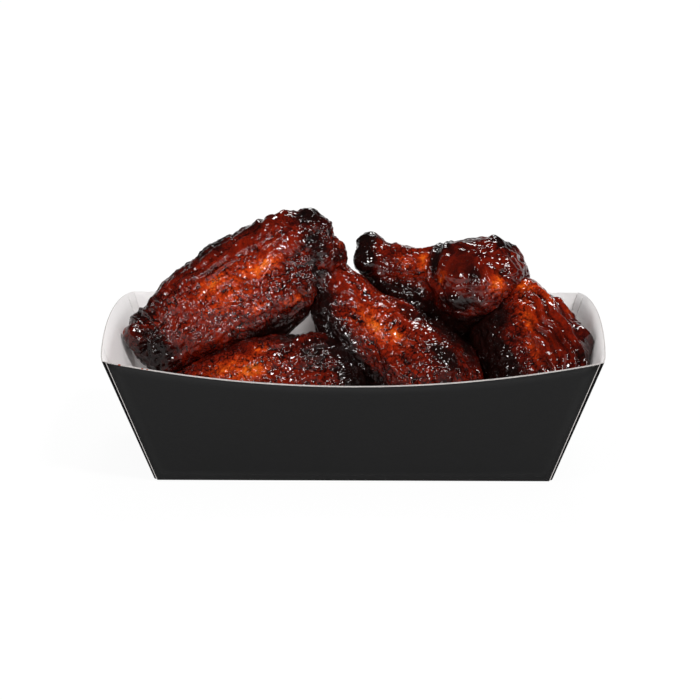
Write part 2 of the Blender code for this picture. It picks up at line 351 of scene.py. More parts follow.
WINGS = (
    Wing(
        node="wing_flat_left",
        amber=(
            (-0.10, 0.32, 0.24, 0.20, 0.80),
            (0.34, 0.18, 0.20, 0.16, 0.88),
            (0.12, 0.24, 0.30, 0.14, 0.72),
            (-0.1, 0.0, 0.35, 0.2, 0.45),
            (0.08, -0.36, 0.10, 0.10, 0.6),
            (0.42, -0.55, 0.22, 0.12, 0.7),
            (-0.95, 0.45, 0.06, 0.15, 0.35),
            (0.97, -0.12, 0.04, 0.10, 0.6),
        ),
        rust=((-0.05, 0.2, 0.62, 0.42, 1.0), (-0.1, -0.35, 0.5, 0.25, 0.6), (0.35, 0.45, 0.3, 0.3, 0.7)),
        char=(
            (0.90, 0.55, 0.20, 0.35, 0.85),
            (0.85, 0.0, 0.16, 0.5, 0.65),
            (0.55, -0.05, 0.12, 0.12, 0.6),
            (-0.1, 0.98, 0.9, 0.22, 0.85),
            (-0.75, 0.65, 0.25, 0.3, 0.7),
            (-0.84, -0.2, 0.20, 0.55, 1.0),
            # Painted shade: the lower edge, in the shadow between this wing and the one under it.
            (-0.2, -0.94, 0.9, 0.30, 1.5),
            (0.62, -0.5, 0.2, 0.3, 0.6),
            (0.5, 0.85, 0.3, 0.2, 0.5),
            (-0.45, 0.05, 0.2, 0.2, 0.35),
        ),
        smooth=((0.55, 0.35, 0.16, 0.16, 0.8), (0.62, 0.8, 0.18, 0.14, 1.0), (0.1, 0.72, 0.6, 0.12, 0.7)),
        knobs=(
            (0.95, -0.15, 0.1, 3.0, 1.0),
            (0.97, 0.25, 0.1, 3.2, 1.8),
            (0.93, 0.55, 0.2, 3.5, 1.6),
            (0.82, 0.9, 0.2, 4.0, 1.2),
            (0.62, 0.92, 0.4, 6.0, 1.6),
            (0.60, 0.32, 0.8, 4.5, 1.0),
            (-0.93, 0.5, 0.4, 3.6, 2.0),
            (-0.97, 0.1, 0.4, 3.2, 1.6),
            (-0.80, 0.85, 0.2, 3.0, 1.2),
            (-0.62, 0.97, 0.1, 3.2, 1.2),
            (-0.85, 0.2, 0.7, 3.4, 1.4),
            (0.86, 0.25, 0.8, 3.0, 1.2),
            (0.80, -0.25, 0.8, 3.0, 1.3),
            (0.88, -0.02, 0.7, 2.6, 1.2),
        ),
        folds=(
            (1.6, 1.0, (-0.72, 0.75), (-0.3, 0.92), (0.2, 0.98)),
            (1.3, 0.8, (-0.60, 0.62), (-0.25, 0.80), (0.25, 0.86), (0.5, 0.92)),
            (1.4, 0.9, (-0.50, 0.56), (-0.1, 0.68), (0.35, 0.72), (0.6, 0.75)),
            (1.2, 0.7, (-0.15, 0.54), (0.2, 0.58), (0.5, 0.62)),
            (1.3, 0.8, (0.25, 0.48), (0.55, 0.50)),
            (1.6, 0.9, (0.50, 0.62), (0.72, 0.72), (0.86, 0.70)),
            (1.4, 0.9, (0.70, 0.30), (0.78, 0.05), (0.78, -0.2)),
            (1.4, 1.0, (0.86, 0.40), (0.92, 0.10), (0.90, -0.3)),
            (1.5, 1.0, (-0.88, 0.70), (-0.80, 0.30), (-0.86, -0.1)),
            (1.3, 0.9, (-0.74, 0.62), (-0.70, 0.30), (-0.76, -0.1)),
            (1.2, 0.8, (-0.95, 0.30), (-0.84, 0.05), (-0.70, -0.1)),
        ),
        wrinkle=0.8,
        skin=1.0,
        seed=11,
    ),
    Wing(
        node="wing_flat_under",
        amber=(
            (0.12, 0.45, 0.26, 0.20, 0.95),
            (-0.1, 0.62, 0.28, 0.16, 0.8),
            (0.3, 0.75, 0.14, 0.12, 0.7),
            (-0.4, 0.6, 0.2, 0.12, 0.5),
        ),
        rust=((-0.1, 0.5, 0.6, 0.3, 1.0), (0.5, 0.1, 0.4, 0.3, 0.5)),
        char=(
            (0.62, 0.85, 0.25, 0.2, 1.0),
            (0.75, 0.45, 0.2, 0.3, 0.7),
            (-0.1, 0.98, 0.9, 0.12, 0.6),
            # Painted shade: the right end, which fills a shadowed gap beside the middle wing.
            (1.0, 0.2, 0.12, 0.9, 1.5),
        ),
        smooth=(),
        knobs=(
            (0.75, 0.8, 0.5, 4.0, 1.0),
            (0.9, 0.5, 0.5, 4.0, 1.0),
            # Painted shade: these two large knobs fill a shadowed gap at the right end and take the dark
            # char colour.
            (1.0, 0.1, -0.2, 10.0, 6.5),
            (0.98, -0.5, -0.1, 9.0, 5.0),
        ),
        folds=(
            (1.5, 0.8, (0.45, 0.85), (0.7, 0.75), (0.85, 0.5)),
            (1.3, 0.7, (-0.4, 0.8), (0.0, 0.88), (0.3, 0.9)),
        ),
        wrinkle=0.7,
        skin=1.0,
        seed=23,
    ),
    Wing(
        node="wing_drum_center",
        amber=(
            (-0.18, 0.02, 0.22, 0.18, 0.95),
            (0.02, 0.16, 0.16, 0.14, 0.85),
            (-0.35, -0.22, 0.12, 0.12, 0.4),
            (-0.3, 0.45, 0.12, 0.12, 0.45),
            (0.8, 0.1, 0.12, 0.2, 0.3),
        ),
        rust=((-0.1, 0.1, 0.4, 0.5, 1.0), (-0.45, 0.25, 0.25, 0.25, 0.7), (0.3, -0.1, 0.3, 0.3, 0.5)),
        char=(
            (-0.90, 0.3, 0.20, 0.8, 1.0),
            # Painted shade: these two patches darken the lower left, in the shadow beside the lower left
            # wing.
            (-0.75, -0.45, 0.32, 0.32, 1.4),
            (-0.35, -0.60, 0.3, 0.25, 1.2),
            (0.42, 0.5, 0.2, 0.22, 0.8),
            (0.62, 0.25, 0.12, 0.15, 0.6),
            # Painted shade: these three patches darken the lower edge and the top edge under the wing above.
            (0.0, -0.85, 0.9, 0.34, 1.6),
            (-0.2, 0.95, 0.9, 0.30, 1.5),
            (-0.35, 1.0, 0.30, 0.35, 1.9),
            (0.35, 0.1, 0.35, 0.45, 0.25),
            (0.15, -0.35, 0.3, 0.12, 0.5),
            (0.85, 0.45, 0.2, 0.3, 0.6),
        ),
        smooth=((-0.6, 0.05, 0.14, 0.16, 0.8), (-0.1, 0.62, 0.35, 0.16, 0.9)),
        knobs=(
            (-0.88, 0.1, 0.7, 3.5, 1.5),
            (-0.80, -0.5, 0.5, 3.5, 1.4),
            (-0.78, 0.7, 0.4, 3.0, 1.2),
            (0.35, 0.45, 0.9, 3.0, 1.3),
            (0.46, 0.58, 0.8, 2.6, 1.2),
            (0.50, 0.38, 0.9, 2.8, 1.3),
            (0.40, 0.68, 0.7, 2.6, 1.0),
            (0.60, 0.50, 0.8, 3.0, 1.2),
            # Painted shade: this large knob fills a shadowed gap under the lower edge and takes the dark
            # char colour.
            (0.12, -1.0, -0.1, 8.0, 4.5),
            (-0.70, 0.2, 0.8, 3.0, 1.4),
            (-0.95, 0.5, 0.5, 3.0, 1.6),
            (-0.86, 0.85, 0.3, 3.0, 1.2),
        ),
        folds=(
            (1.3, 0.8, (-0.75, 0.35), (-0.4, 0.38), (0.0, 0.42), (0.3, 0.40)),
            (1.2, 0.7, (-0.65, 0.60), (-0.3, 0.62), (0.1, 0.66)),
            (1.3, 0.8, (-0.55, 0.85), (-0.2, 0.82), (0.2, 0.85)),
            (1.2, 0.7, (-0.60, -0.10), (-0.3, -0.25), (0.1, -0.38)),
            (1.3, 0.9, (-0.75, -0.25), (-0.5, -0.42), (-0.1, -0.55)),
            (1.2, 0.8, (-0.80, -0.55), (-0.5, -0.65), (-0.2, -0.75)),
            (1.2, 0.7, (-0.10, -0.15), (0.2, -0.20), (0.5, -0.1)),
            (1.3, 0.8, (0.15, 0.25), (0.35, 0.20), (0.55, 0.05)),
            (1.2, 0.8, (0.55, 0.35), (0.75, 0.15), (0.8, -0.1)),
        ),
        wrinkle=1.0,
        skin=1.0,
        seed=37,
    ),
    Wing(
        node="wing_drum_top",
        amber=(
            (-0.15, 0.48, 0.08, 0.20, 0.9),
            (-0.38, 0.40, 0.13, 0.16, 0.65),
            (-0.18, -0.02, 0.08, 0.10, 0.6),
            (0.12, 0.10, 0.07, 0.12, 0.8),
            (0.16, 0.20, 0.07, 0.12, 0.8),
            (0.30, 0.80, 0.05, 0.08, 0.6),
            (0.74, 0.04, 0.10, 0.20, 0.95),
            (0.30, 0.32, 0.05, 0.10, 0.5),
        ),
        rust=((-0.25, 0.35, 0.26, 0.42, 0.8), (0.2, 0.3, 0.25, 0.3, 0.35), (0.7, 0.1, 0.14, 0.25, 0.7)),
        char=(
            (-0.88, 0.6, 0.20, 0.7, 1.1),
            (-0.68, 0.15, 0.2, 0.25, 0.8),
            (0.06, 0.80, 0.14, 0.30, 1.4),
            (0.02, 0.42, 0.09, 0.22, 1.0),
            (0.35, 0.45, 0.40, 0.55, 0.50),
            (0.30, -0.30, 0.35, 0.30, 0.75),
            (0.78, 0.92, 0.16, 0.2, 1.6),
            (0.3, 0.85, 0.3, 0.15, 0.6),
            # Painted shade: these seven patches darken the underside, in the shadowed gap above the middle
            # wing.
            (-0.72, -0.05, 0.20, 0.22, 2.0),
            (-0.45, -0.30, 0.24, 0.22, 2.2),
            (-0.55, -0.80, 0.60, 0.70, 3.0),
            (-0.20, -0.50, 0.22, 0.25, 1.8),
            (-0.18, -0.55, 0.24, 0.24, 2.0),
            (0.20, -0.85, 0.45, 0.32, 1.9),
            (0.60, -0.75, 0.40, 0.30, 1.5),
            (0.52, 0.20, 0.12, 0.22, 0.60),
            (0.05, 0.85, 0.12, 0.2, 0.7),
        ),
        smooth=((0.40, 0.4, 0.42, 0.5, 1.0), (0.3, -0.1, 0.4, 0.25, 0.8), (-0.7, 0.35, 0.12, 0.2, 0.8)),
        knobs=(
            (-0.90, 0.95, 0.2, 3.0, 1.2),
            (-0.74, 0.90, 0.3, 2.5, 1.0),
            (-0.70, 0.40, 0.7, 3.0, 1.0),
            (-0.90, 0.3, 0.6, 3.0, 1.0),
            (0.02, 0.70, 0.6, 3.2, 1.6),
            (0.64, 1.0, 0.1, 1.8, 0.9),
            (0.02, 0.95, 0.4, 2.6, 1.6),
            (0.12, 0.90, 0.6, 2.4, 1.4),
            (0.06, 0.45, 0.8, 2.4, 1.3),
            (0.40, 0.30, 0.9, 4.0, 1.6),
            (0.57, 0.05, 0.9, 3.0, 1.5),
            (0.66, 0.50, 0.8, 4.0, 1.6),
            (0.34, 0.78, 0.6, 4.0, 1.3),
            (0.15, 0.30, 0.9, 3.2, 1.2),
            (0.32, -0.20, 0.8, 3.4, 1.5),
            (0.58, -0.28, 0.8, 3.0, 1.3),
            (0.76, -0.02, 0.8, 3.0, 1.2),
            (0.84, 0.45, 0.5, 3.0, 1.0),
            # Painted shade: this large knob fills a shadowed gap under the wing and takes the dark char
            # colour.
            (0.50, -1.0, 0.0, 9.0, 4.5),
        ),
        folds=(
            (1.2, 0.8, (-0.60, 0.80), (-0.35, 0.70), (-0.10, 0.75)),
            (1.1, 0.7, (-0.62, 0.50), (-0.35, 0.52), (-0.12, 0.60)),
            (1.2, 0.8, (-0.60, 0.20), (-0.35, 0.18), (-0.1, 0.15)),
            (1.2, 1.0, (-0.05, 0.85), (-0.04, 0.5), (-0.02, 0.1)),
            (1.3, 1.0, (0.10, 0.80), (0.12, 0.45), (0.10, 0.2)),
            (1.4, 1.1, (0.02, 0.05), (0.15, -0.15), (0.2, -0.4)),
            (1.4, 1.0, (0.25, 0.60), (0.48, 0.62), (0.62, 0.75)),
            (1.3, 1.0, (0.52, 0.45), (0.50, 0.15), (0.45, -0.1)),
            (1.3, 1.0, (0.66, 0.25), (0.68, 0.0), (0.62, -0.2)),
            (1.2, 0.9, (0.74, 0.70), (0.84, 0.55), (0.90, 0.25)),
        ),
        wrinkle=0.6,
        skin=0.6,
        seed=41,
    ),
    Wing(
        node="wing_flat_right",
        amber=(
            (-0.22, 0.30, 0.10, 0.12, 0.7),
            (-0.25, 0.72, 0.20, 0.08, 0.9),
            (0.02, 0.22, 0.14, 0.16, 0.85),
            (0.30, 0.05, 0.14, 0.14, 0.6),
            (-0.35, 0.45, 0.12, 0.2, 0.8),
            (-0.1, 0.92, 0.3, 0.05, 0.7),
            (0.62, -0.1, 0.12, 0.14, 0.45),
        ),
        rust=((-0.1, 0.4, 0.35, 0.4, 0.9), (0.3, 0.2, 0.45, 0.4, 0.6)),
        char=(
            # Painted shade: these two patches darken the lower edge and lower left, in the shade between the
            # wings.
            (0.2, -0.80, 0.9, 0.48, 2.0),
            (-0.35, -0.35, 0.3, 0.40, 1.7),
            (0.55, 0.75, 0.15, 0.2, 0.6),
            (0.25, 0.5, 0.2, 0.1, 0.6),
            (0.45, 0.3, 0.4, 0.4, 0.30),
            (0.2, 1.0, 0.8, 0.12, 0.7),
        ),
        smooth=((0.2, 0.45, 0.4, 0.25, 0.9), (0.1, 0.8, 0.5, 0.2, 0.9)),
        knobs=((0.55, 0.95, 0.2, 8.0, 1.8), (0.15, 0.1, 0.9, 4.0, 1.0), (0.45, 0.1, 0.9, 4.0, 1.2)),
        folds=(
            (1.3, 2.2, (-0.45, 0.86), (-0.10, 0.88), (0.35, 0.95), (0.65, 0.92)),
            (1.2, 2.0, (-0.35, 0.66), (0.05, 0.72), (0.35, 0.78), (0.70, 0.72)),
            (1.2, 1.9, (-0.25, 0.48), (0.10, 0.54), (0.40, 0.62), (0.72, 0.52)),
            (1.2, 1.6, (-0.10, 0.32), (0.15, 0.38), (0.45, 0.45), (0.75, 0.35)),
            (1.5, 1.3, (-0.05, 0.05), (0.25, 0.22), (0.55, 0.30)),
            (1.3, 0.9, (0.10, -0.15), (0.35, 0.0), (0.6, 0.05)),
        ),
        wrinkle=0.8,
        skin=0.7,
        seed=53,
    ),
)


def wing_frame(points):
    """Each point along, up and out from the wing's middle, first as -1 to 1 and then in metres."""
    spread = points - points.mean(0)
    along = np.linalg.eigh(spread.T @ spread)[1][:, 2]
    along *= math.copysign(1, along[0])
    out = np.array(FRONT) - along * np.dot(along, FRONT)
    out /= np.linalg.norm(out)
    up = np.cross(out, along)
    up *= math.copysign(1, up[2])
    flat = points @ np.stack([along, up, out]).T
    low, high = flat.min(0), flat.max(0)
    flat -= (low + high) / 2
    half = (high - low) / 2
    return flat / half, flat, half


def patches_on(local, patches):
    """How strongly each point lies in the patches, from 0 to 1."""
    total = np.zeros(len(local))
    for along, up, reach_along, reach_up, strength in patches:
        distance = ((local[:, 0] - along) / reach_along) ** 2 + ((local[:, 1] - up) / reach_up) ** 2
        total = np.maximum(total, strength * np.exp(-distance))
    return total


def knobs_on(local, points, knobs):
    """The height of the round knobs at each point."""
    total = np.zeros(len(points))
    for *place, radius, height in knobs:
        heart = points[np.argmin(((local - place) ** 2).sum(1))]
        distance = np.linalg.norm(points - heart, axis=1) / (radius * MM)
        total += height * MM * np.exp(-(distance**2))
    return total


def fold_on(flat, half, fold):
    """The height of one long fold of skin, which has a groove on each side of it."""
    width, height, *path = fold
    nearest = np.full(len(flat), 1.0)
    for start, end in zip(path, path[1:]):
        start, end = np.array(start) * half[:2], np.array(end) * half[:2]
        step = end - start
        share = np.clip((flat[:, :2] - start) @ step / (step @ step), 0, 1)
        nearest = np.minimum(nearest, np.linalg.norm(flat[:, :2] - start - share[:, None] * step, axis=1))
    squared = (nearest / (width * MM)) ** 2
    return height * MM * (1 - squared) * np.exp(-squared)


def rough_wing(wing, settings):
    """A finely divided smooth copy of the wing's solid."""
    made = add_object(wing.node + "_skin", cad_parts[wing.node].data.copy())
    made.data.materials.clear()
    remesh = made.modifiers.new("even", "REMESH")
    remesh.mode = "VOXEL"
    remesh.voxel_size = settings.coarse
    ease = made.modifiers.new("ease", "SMOOTH")
    ease.factor = 0.6
    ease.iterations = 6
    divide = made.modifiers.new("divide", "SUBSURF")
    divide.levels = divide.render_levels = 2
    return applied(made)


def skin_relief(wing, made, settings, walls):
    """Pushes the surface into folds, knobs and pitted skin, and stores where each finish lies."""
    mesh = made.data
    points, normals = points_of(mesh), points_of(mesh, "normal")
    local, flat, half = wing_frame(points)
    seed = wing.seed
    facing = rise(local[:, 2], -0.6, 0.0)
    warp = np.stack([waves(points, 0.010, seed + axis) for axis in range(3)], 1)
    bent = flat + warp * 0.0024
    ends = rise(np.abs(local[:, 0]), 0.6, 0.95)

    # Painted shade: the side that faces away from the guest gets char colour, as it lies in shade.
    char = np.maximum(patches_on(local, wing.char), 0.55 * (1 - facing))
    rust = patches_on(local, wing.rust)
    amber = patches_on(local, wing.amber)
    smooth = patches_on(local, wing.smooth)
    blotch = layered(points, 0.007, 3, seed + 9)

    folds = sum(fold_on(bent, half, fold) for fold in wing.folds) * facing * settings.fold_depth
    loose = creases(bent * np.array((0.24, 1.0, 0.7)), 0.0040, 2, seed + 21) - 0.5
    loose *= (0.62 + 0.38 * np.maximum(ends, 1 - facing)) * wing.wrinkle * settings.wrinkle_depth
    knobs = knobs_on(local, points, wing.knobs)
    lumps = layered(points, 0.010, 2, seed + 31) * settings.lump_height

    rough_skin = wing.skin * (1 - 0.8 * smooth)
    grain = settings.skin_grain * (1 + 0.25 * waves(points, 0.02, seed + 51))[:, None]
    pimples = domes(points / grain, 1.0, seed + 43) * settings.skin_depth * rough_skin
    pits = rise(pebbles(points / grain, 1.0, seed + 43), 0.0, 0.25) - 1.0
    crackle = creases(points + warp * 0.0008, 0.0040, 2, seed + 39) - 0.55
    crust = (pebbles(points + warp * 0.0005, 0.0034, seed + 35) - 0.3) * np.clip(char + ends - 0.4, 0, 1)
    cracks = (0.20 * pits + 1.1 * crackle + 1.8 * crust) * rough_skin * settings.skin_depth
    blobs = domes(points + warp * 0.0012, 0.0052, seed + 61) * smooth * settings.blob_height
    skin = pimples + cracks + blobs

    moved = points + normals * (folds + loose + knobs + lumps + skin)[:, None]
    for axis in (0, 1):
        room = walls.room(axis, moved)
        moved[:, axis] = np.clip(moved[:, axis], -room, room)
    moved[:, 2] = np.maximum(moved[:, 2], BOARDS_UNDER_WINGS * walls.settings.board)
    set_points(mesh, moved)
    mesh.shade_smooth()

    # Partly glaze pooled in cracks, pits and the grooves beside folds, partly painted shade darkening them.
    hollow = rise(-(cracks + loose) / settings.skin_depth, 0.1, 1.3)
    hollow += 0.6 * (1 - rise(pits, -1.0, -0.5)) * rough_skin
    crest = rise(folds + knobs, 0.2 * MM, 1.0 * MM)
    hollow += rise(-folds, 0.04 * MM, 0.16 * MM) * 0.8
    store(mesh, "amber", amber * (1.0 + 0.7 * blotch) - 0.5 * char)
    store(mesh, "rust", rust * (0.8 + 0.8 * blotch) - 0.3 * char)
    store(mesh, "char", char * (1.0 + 0.5 * blotch) + 0.12 * blotch + 0.12 * crest)
    store(mesh, "hollow", hollow)
    store(mesh, "pool", smooth)


def glaze_look(wing, settings):
    """Sticky dark red glaze over roast skin: amber in patches, partly thin glaze and partly painted light;
    darker in hollows, partly thick glaze and partly painted shade; burnt on ends, with char as painted shade
    on lower edges, undersides and the back.
    """
    look = Look(wing.node + "_glaze")
    amber, rust, char, hollow, pool = map(look.attribute, ("amber", "rust", "char", "hollow", "pool"))
    blotch = look.noise(0.0060, 4.0, 0.6, 0.6)
    mottle = look.noise(0.0024, 4.0, 0.65, 0.8)
    speck = look.noise(0.0013, 2.0, 0.5)
    skin = look.warped(0.004, 0.0036)
    edges = look.cells(0.0020, skin, "DISTANCE_TO_EDGE")
    pimple = look.cells(0.0020, skin)
    patchy = look.ramp(look.noise(0.008, 3.0, 0.6), (0.35, 0.25), (0.60, 1.0))
    # Dark lines along the edges of the skin's cells: partly glaze in the cracks, partly painted shade.
    crack_glaze_and_shade = look.ramp(edges + (speck - 0.5) * 0.25, (0.02, 1.0), (0.15, 0.0)) * patchy * (1 - 0.9 * pool)
    thick = look.ramp(blotch + (mottle - 0.5) * 0.7, (0.38, 0.0), (0.62, 1.0))
    colour = look.mix(thick, solid(settings.deep), solid(settings.glaze))
    reddened = (rust * (0.45 + 1.1 * mottle)).clamped()
    colour = look.mix(reddened, colour, solid(settings.rust))
    # Amber and gold: thin glaze over fat, and partly painted light where the wing is lit.
    spread = amber + (mottle - 0.5) * 1.5 + (speck - 0.5) * 0.9
    thin = look.ramp(spread, (0.24, 0.0), (0.90, 1.0))
    colour = look.mix(thin, colour, solid(settings.amber))
    colour = look.mix(look.ramp(spread, (0.72, 0.0), (1.0, 1.0)) * 0.75, colour, solid(settings.gold_and_painted_light))
    # Darker in hollows and cracks: partly thick glaze, partly painted shade.
    sunk_glaze_and_shade = (hollow * 0.7 + crack_glaze_and_shade * 0.75) * (1 - 0.45 * thin)
    colour = look.mix(sunk_glaze_and_shade.clamped(), colour, solid(settings.crack_glaze_and_shade))
    # Char: burnt skin, and painted shade on lower edges, undersides and the side away from the guest.
    burn_and_shade = look.ramp(char + (mottle - 0.5) * 0.8, (0.32, 0.0), (0.80, 1.0))
    colour = look.mix((burn_and_shade * 0.95).clamped(), colour, solid(settings.char))
    spots = look.ramp(speck, (0.62, 0.0), (0.67, 1.0)) * (0.85 - 0.6 * pool)
    colour = look.mix(spots.clamped(), colour, solid(settings.char))
    rough = (0.075 + 0.02 * burn_and_shade + 0.08 * (blotch - 0.45) - 0.02 * pool).clamped()
    grain = look.noise(0.0040, 1.0, 0.35, 0.4)
    square = pimple * pimple
    relief = grain * 1.0 * (1 - 0.5 * pool) + (1 - square * square) * 0.25 * (1 - 0.9 * pool)
    look.finish(Base_Color=colour, Roughness=rough, Normal=look.bump(relief, 0.00072))
    return look.finish(Specular_IOR_Level=settings.shine, IOR=1.5)


class WingSettings(bpy.types.PropertyGroup):
    """Sizes and colours of the wings."""

    coarse: length("Coarse mesh", "Mesh size before it is divided", 0.0016)
    skin_grain: length("Skin grain", "Size of the skin's small bumps", 0.0027)
    skin_depth: length("Skin depth", "Height of the small bumps", 0.00038)
    blob_height: length("Glaze blobs", "Height of the pooled glaze", 0.0010)
    wrinkle_depth: length("Wrinkles", "Height of loose wrinkles", 0.0010)
    fold_depth: number("Folds", "Share of each fold's own height", 0.7)
    lump_height: length("Lumps", "Height of the broad lumps", 0.0010)
    shine: number("Shine", "How much the glaze mirrors", 0.46)
    glaze: paint("Glaze", "Red-brown glaze", (0.165, 0.008, 0.002))
    deep: paint("Deep glaze", "Glaze where it is thick", (0.050, 0.0025, 0.0015))
    rust: paint("Rust", "Edge of thin glaze", (0.33, 0.017, 0.002))
    # The amber and gold colours are partly thin glaze and partly painted light where the wings are lit.
    amber: paint("Amber", "Thin glaze over fat", (0.60, 0.052, 0.004))
    gold_and_painted_light: paint("Gold", "Thinnest glaze over fat", (0.76, 0.145, 0.010))
    # The crack colour is partly glaze in the hollows and partly painted shade.
    crack_glaze_and_shade: paint("Cracks", "Glaze burnt in the hollows", (0.008, 0.001, 0.0008))
    # The char colour is also painted shade on lower edges, undersides and in gaps.
    char: paint("Char", "Burnt skin", (0.004, 0.0015, 0.0013))


class WINGS_OT_add_wings(bpy.types.Operator):
    """Adds the five glazed wings over their solids"""

    bl_idname = "mesh.glazed_wings_add"
    bl_label = "Add Glazed Wings"

    def execute(self, context):
        settings = context.scene.glazed_wings
        walls = Walls(context.scene.wings_tray)
        for wing in WINGS:
            made = rough_wing(wing, settings)
            skin_relief(wing, made, settings, walls)
            made.data.materials.append(glaze_look(wing, settings))
            keep(made, wing.node)
        return {"FINISHED"}


# === tray =============================================================================================

# The walls by the side that they stand on: the axis that they face and the way they face along it
WALLS = {"front": (1, -1), "back": (1, 1), "left": (0, -1), "right": (0, 1)}
# How many boards thick the walls and the base are taken to be where a wing lies on them
BOARDS_BESIDE_WINGS = 1.9
BOARDS_UNDER_WINGS = 1.6
# The slanted cut ends of the long panels: how far they reach under the panel and past it, in metres
CUT_UNDER, CUT_PAST = 0.00005, 0.00042
# Sauce splashes: wall, place along it, share of its height and radius in millimetres
SPLASHES = (
    ("front", -0.93, 1.0, 0.5),
    ("front", -0.915, 0.995, 0.3),
    ("front", -0.84, 1.0, 0.45),
    ("front", -0.82, 1.0, 0.35),
    ("left", 0.1, 0.80, 0.5),
    ("left", -0.35, 0.70, 0.35),
    ("right", 0.3, 0.82, 0.4),
)


class TraySettings(bpy.types.PropertyGroup):
    """Sizes and colours of the tray."""

    board: length("Board", "Thickness of the paperboard", 0.00042)
    height: length("Corner height", "Height of the rim at the corners", 0.0494)
    inset: length("Inset", "How far each wall leans out", 0.0164)
    dip: length("Front dip", "How far the front rim dips", 0.0105)
    lift: length("End rise", "How far the end rims rise", 0.0048)
    bulge: length("End bulge", "How far the end walls bow out", 0.0014)
    gusset: length("Gusset", "Width of the folded corner flaps", 0.0125)
    ledge: length("Ledge", "Board seen beside the front panel", 0.0017)
    black: paint("Print", "Black print outside", (0.0034, 0.0034, 0.0036))
    white: paint("Inside", "Bare white board", (0.93, 0.90, 0.895))
    edge: paint("Cut edge", "Cut edge of the board", (0.66, 0.62, 0.60))


def print_look(name, settings, half, painted_shade_tone, shine):
    """Black print, paler grey along the folds, partly scuffed and partly a painted highlight; a tone below 1
    darkens it all as painted shade.
    """
    look = Look(name)
    cloud = look.noise(0.035, 4.0, 0.6, 0.3)
    fibre = look.noise(0.0016, 3.0, 0.6, where=look.stretched((1.0, 1.0, 3.0)))
    shade = (cloud * 0.8 + fibre * 0.4).clamped()
    # Painted shade: a tone below 1 makes a darker copy of the same print.
    colour = look.mix(shade, tinted(settings.black, 0.65 * painted_shade_tone), tinted(settings.black, 1.5 * painted_shade_tone))
    x, y, z = look.split(look.place())
    lean = settings.inset / settings.height
    to_corner = (half[0] + lean * z - x.size()).most(half[1] + lean * z - y.size())
    to_fold = to_corner.least(z)
    # A paler line along the corners and the bottom fold: partly scuffed print, partly a painted highlight.
    wear_and_highlight = look.ramp(to_fold * 1000 + look.noise(0.004, 3.0, 0.6) * 0.9, (0.28, 1.0), (0.62, 0.0))
    colour = look.mix(wear_and_highlight * 0.35 * painted_shade_tone, colour, tinted(settings.black, 14))
    rough = (0.44 + 0.14 * cloud + 0.2 * wear_and_highlight).clamped()
    normal = look.bump(fibre, 0.00004, below=look.bump(cloud, 0.0004))
    return look.finish(Base_Color=colour, Roughness=rough, Normal=normal, Specular_IOR_Level=shine)


def board_look(settings):
    """Bare white board, with fibres, faint scuffs and warm brown blotches that grow towards the bottom."""
    look = Look("white_board")
    cloud = look.noise(0.016, 4.0, 0.6, 0.4)
    fibre = look.noise(0.0012, 4.0, 0.7)
    scratch = look.noise(0.002, 3.0, 0.6, 0.2, where=look.stretched((1.0, 0.25, 1.3)))
    shade = (cloud * 0.5 + fibre * 0.25 + scratch * 0.3).clamped()
    colour = look.mix(shade, tinted(settings.white, 0.86), solid(settings.white))
    height = look.split(look.place())[2]
    # Warm brown blotches, more of them lower down, where the board is also glossier.
    warm_low_blotch = look.ramp(look.noise(0.020, 4.0, 0.55, 0.5) - height * 9 + 0.25, (0.56, 0.0), (0.66, 1.0))
    colour = look.mix(warm_low_blotch * 0.55, colour, solid((0.42, 0.24, 0.15)))
    normal = look.bump(fibre + scratch * 0.5, 0.00006)
    return look.finish(Base_Color=colour, Roughness=(0.66 - 0.25 * warm_low_blotch).clamped(), Normal=normal)


def edge_look(settings):
    look = Look("cut_edge")
    fibre = look.noise(0.0008, 3.0, 0.7)
    long = look.noise(0.012, 3.0, 0.6)
    shade = (fibre * 0.6 + long * 0.5).clamped()
    colour = look.mix(shade, tinted(settings.edge, 0.6), solid(settings.edge))
    return look.finish(Base_Color=colour, Roughness=0.8, Normal=look.bump(fibre, 0.00010))


class Walls:
    """The outside of the tray's four walls, which all lean out from a flat base."""

    def __init__(self, settings):
        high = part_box("tray")[1]
        self.settings = settings
        self.lean = settings.inset / settings.height
        corner = high[0] - settings.bulge - (high[2] - settings.height) * self.lean
        self.half = (corner - settings.inset, high[1] - settings.inset)
        slope = math.hypot(1.0, self.lean)
        self.uphill = 1 / slope
        self.outward = Vector((1 / slope, -self.lean / slope))

    def rim(self, wall, along):
        change = {"front": -self.settings.dip, "back": 0.0}.get(wall, self.settings.lift)
        return self.settings.height + change * self.uphill * (1 - along**2)

    def room(self, axis, points):
        """How far from the middle each point may lie along an axis, on the inner side of the walls."""
        share = np.clip(points[:, 2] / self.settings.height, 0, 1)
        far = self.half[axis] + self.lean * points[:, 2] - BOARDS_BESIDE_WINGS * self.settings.board
        if axis == 0:
            along = points[:, 1] / (self.half[1] + self.settings.inset * share)
            far += self.settings.bulge * share * np.sqrt(np.clip(1 - along**2, 0, 1))
        return far

    def reach(self, share, more=0.0):
        """How far along a long wall its panel reaches, of 1, with more added in metres."""
        gap = self.settings.ledge * (0.7 + 0.3 * share) - more
        return 1 - gap / (self.half[0] + self.settings.inset * share)

    def point(self, wall, along, share, lift=0.0):
        """A point on a wall: along from -1 to 1, share of the way up to the rim, moved out by lift."""
        axis, way = WALLS[wall]
        z = share * self.rim(wall, along)
        side = along * (self.half[1 - axis] + self.settings.inset * share)
        face = self.half[axis] + self.lean * z
        if axis == 0:
            face += self.settings.bulge * share * math.sqrt(max(0.0, 1 - along**2))
        face += lift * self.outward.x
        z += lift * self.outward.y
        return Vector((side, way * face, z)) if axis else Vector((way * face, side, z))


